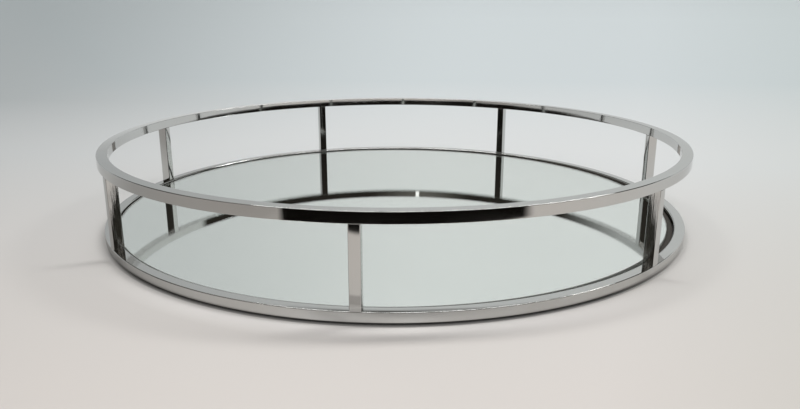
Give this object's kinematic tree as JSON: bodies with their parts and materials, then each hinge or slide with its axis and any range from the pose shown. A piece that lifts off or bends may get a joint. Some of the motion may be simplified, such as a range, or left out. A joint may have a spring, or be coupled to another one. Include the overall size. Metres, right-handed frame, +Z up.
{
  "type": "round gallery tray",
  "caption": "Round open-sided tray: two plated bar hoops joined by upright posts, with a mirror floor set in the lower hoop, for carrying or displaying small things.",
  "frame": {"origin": "on the table under the tray's centre, at the underside of its felt feet", "axes": "+Z up; the first post stands at -Y, the side that faces the viewer; +X to that viewer's right"},
  "size_m": [0.356, 0.356, 0.05],
  "materials": {
    "chrome_bar": "bright chrome plate over polished steel bar",
    "mirror_glass": "silvered float glass with a faint green cast",
    "backing": "dark brown hardboard",
    "felt": "black wool felt",
    "silicone": "translucent silicone",
    "tape": "white double-sided tape"
  },
  "bodies": {
    "root": {"base_ring": "chrome_bar", "top_rail": "chrome_bar", "post_1": "chrome_bar", "post_2": "chrome_bar", "post_3": "chrome_bar", "post_4": "chrome_bar", "post_5": "chrome_bar", "post_6": "chrome_bar", "post_7": "chrome_bar", "support_tab_1": "chrome_bar", "support_tab_2": "chrome_bar", "support_tab_3": "chrome_bar", "support_tab_4": "chrome_bar", "support_tab_5": "chrome_bar", "support_tab_6": "chrome_bar", "support_tab_7": "chrome_bar", "felt_foot_1": "felt", "felt_foot_2": "felt", "felt_foot_3": "felt", "felt_foot_4": "felt", "felt_foot_5": "felt", "felt_foot_6": "felt", "felt_foot_7": "felt", "adhesive_dab_1": "silicone", "adhesive_dab_2": "silicone", "adhesive_dab_3": "silicone", "adhesive_dab_4": "silicone", "adhesive_dab_5": "silicone", "adhesive_dab_6": "silicone", "adhesive_dab_7": "silicone", "backing_board": "backing", "mirror_tape_1": "tape", "mirror_tape_2": "tape", "mirror_tape_3": "tape", "mirror": "mirror_glass"}
  },
  "joints": []
}
